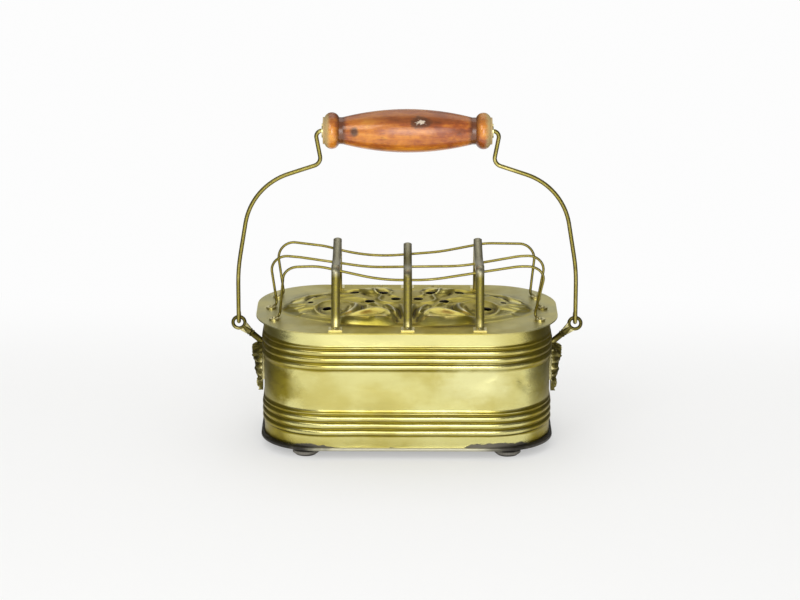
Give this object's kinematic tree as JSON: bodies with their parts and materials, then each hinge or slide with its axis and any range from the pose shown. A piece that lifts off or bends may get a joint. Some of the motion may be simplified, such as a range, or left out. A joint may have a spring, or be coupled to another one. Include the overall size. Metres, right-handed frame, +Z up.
{
  "type": "antique foot warmer",
  "caption": "Brass foot warmer: moulded oval casing over an ember pan, hinged pierced lid with a wire footrest, and a swinging bail with a turned wooden grip.",
  "frame": {"origin": "on the ground, in the middle of the four feet", "axes": "+Z up, +X along the length to the right, -Y to the front, the hinge at +Y"},
  "size_m": [0.2958, 0.148, 0.282],
  "materials": {
    "brass_sheet": "satin, worn bright on the mouldings",
    "brass_cast": "cast, dull",
    "brass_strip": "dull patina, worn at the crowns",
    "brass_wire": "drawn, dull",
    "brass_small": "dull",
    "iron_sheet": "blackened sheet iron",
    "iron_small": "blackened",
    "iron_cast": "rough",
    "turned_wood": "varnished, worn"
  },
  "bodies": {
    "casing": {"casing": "brass_sheet", "base_tray": "iron_sheet", "foot_front_left": "iron_cast", "foot_front_right": "iron_cast", "foot_rear_left": "iron_cast", "foot_rear_right": "iron_cast", "foot_burrs": "iron_small", "pan_rest_left": "iron_sheet", "pan_rest_right": "iron_sheet", "rest_rivets": "iron_small", "hinge_leaf_casing": "brass_strip", "hinge_rivets_casing": "brass_small", "hinge_pin": "brass_small", "bracket_left": "brass_cast", "bracket_right": "brass_cast", "bracket_rivets": "brass_small"},
    "lid": {"lid": "brass_sheet", "lid_collar": "brass_sheet", "hinge_leaf_lid": "brass_strip", "hinge_rivets_lid": "brass_small", "strap_left": "brass_strip", "strap_middle": "brass_strip", "strap_right": "brass_strip", "strap_rivets": "brass_small", "rack_wire_front": "brass_wire", "rack_wire_middle": "brass_wire", "rack_wire_rear": "brass_wire", "wire_rivets": "brass_small"},
    "ember_pan": {"ember_pan": "iron_sheet", "pan_ear_left": "iron_sheet", "pan_ear_right": "iron_sheet", "ear_rivets": "iron_small"},
    "bail": {"bail_wire": "brass_wire"},
    "grip": {"grip": "turned_wood", "grip_washers": "brass_small"}
  },
  "joints": [
    {"name": "lid_hinge", "type": "hinge", "parent": "casing", "child": "lid", "pos_m": [0, 0.0705, 0.1045], "axis": [-1, 0, 0], "range_deg": [0, 110]},
    {"name": "ember_pan_lift", "type": "slide", "parent": "casing", "child": "ember_pan", "axis": [0, 0, 1], "range_m": [0, 0.03]},
    {"name": "bail_swing", "type": "hinge", "parent": "casing", "child": "bail", "pos_m": [0, 0, 0.1025], "axis": [1, 0, 0], "range_deg": [-120, 120]},
    {"name": "grip_spin", "type": "hinge", "parent": "bail", "child": "grip", "pos_m": [0, -0.00387, 0.264], "axis": [1, 0, 0], "continuous": true}
  ]
}
